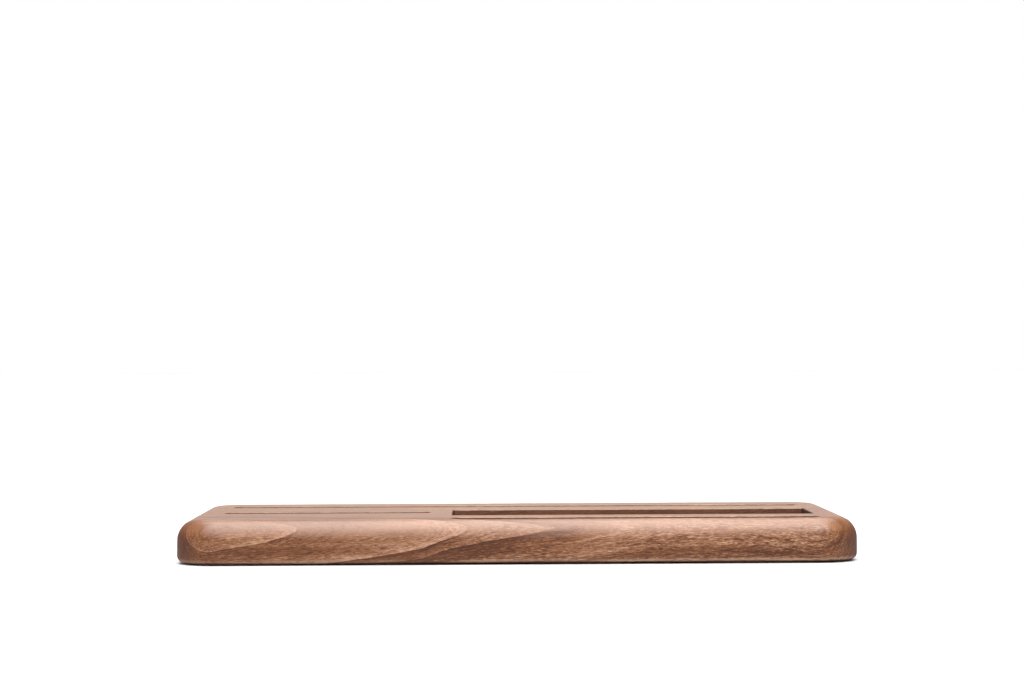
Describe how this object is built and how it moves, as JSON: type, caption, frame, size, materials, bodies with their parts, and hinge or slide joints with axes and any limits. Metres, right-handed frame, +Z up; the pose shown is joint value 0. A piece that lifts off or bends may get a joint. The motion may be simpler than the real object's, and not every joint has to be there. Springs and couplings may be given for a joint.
{
  "type": "gadget organizer",
  "caption": "Low rounded walnut desk block with two leaning slots that stand a tablet and a phone, an open pocket for glasses and a pen groove.",
  "frame": {"origin": "on the table, under the middle of the block", "axes": "+X along the block's length, to the right seen from the front; +Y to the back; +Z up"},
  "size_m": [0.3, 0.132, 0.0196],
  "materials": {
    "front_walnut": "satin oiled walnut",
    "rear_walnut": "satin oiled walnut",
    "rubber": "matt"
  },
  "bodies": {
    "root": {"front_strip": "front_walnut", "rear_strip": "rear_walnut", "foot_front_left": "rubber", "foot_front_right": "rubber", "foot_rear_left": "rubber", "foot_rear_right": "rubber"}
  },
  "joints": []
}
